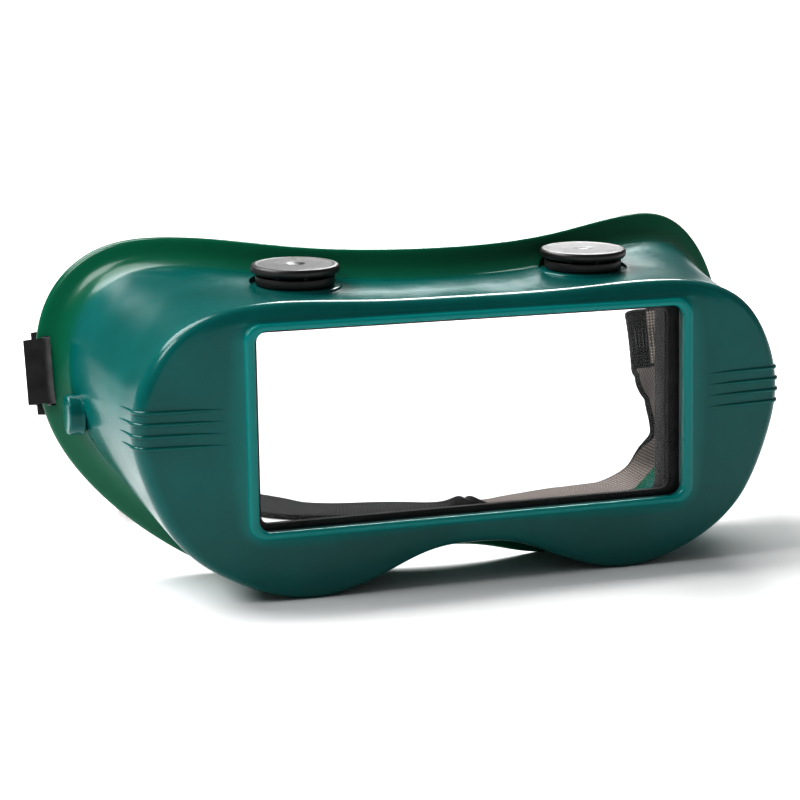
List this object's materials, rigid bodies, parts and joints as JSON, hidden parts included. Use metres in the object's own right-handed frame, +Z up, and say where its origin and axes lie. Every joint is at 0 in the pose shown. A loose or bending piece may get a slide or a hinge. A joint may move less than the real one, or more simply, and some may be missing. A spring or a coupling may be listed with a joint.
{
  "type": "fixed-window gas welding goggles",
  "caption": "Soft moulded welding goggles with a wide rectangular window, round top vents, hooked strap clips and an elastic headband.",
  "frame": {"origin": "middle of the whole object's footprint on the surface it stands on", "axes": "+Z up, -Y out of the window's front, +X to the wearer's left"},
  "size_m": [0.1882, 0.1252, 0.0799],
  "materials": {
    "pvc_green": "glossy soft PVC, translucent green",
    "plate_clear": "clear, polished",
    "gasket_rubber": "matt",
    "holder_black": "satin black moulding",
    "vent_black": "satin black moulding",
    "clip_nylon": "satin nylon",
    "band_elastic": "woven elastic"
  },
  "bodies": {
    "goggles": {"frame": "pvc_green", "cover_plate_front": "plate_clear", "spacer_gasket": "gasket_rubber", "cover_plate_rear": "plate_clear", "lens_holder": "holder_black", "vent_body_left": "vent_black", "vent_body_right": "vent_black", "vent_cap_left": "vent_black", "vent_cap_right": "vent_black", "vent_baffle_left": "vent_black", "vent_baffle_right": "vent_black", "headband_left": "band_elastic", "headband_back": "band_elastic", "headband_right": "band_elastic", "strap_slide": "clip_nylon"},
    "clip_left": {"strap_clip_left": "clip_nylon", "strap_loop_left": "band_elastic"},
    "clip_right": {"strap_clip_right": "clip_nylon", "strap_loop_right": "band_elastic"}
  },
  "joints": [
    {"name": "clip_left_swing", "type": "hinge", "parent": "goggles", "child": "clip_left", "pos_m": [-0.0904, -0.00462, 0.048], "axis": [0, 0.2391, 0.971], "range_deg": [-25, 25], "deforming": ["headband_left"]},
    {"name": "clip_right_swing", "type": "hinge", "parent": "goggles", "child": "clip_right", "pos_m": [0.0904, -0.00462, 0.048], "axis": [0, 0.2391, 0.971], "range_deg": [-25, 25], "deforming": ["headband_right"]}
  ]
}
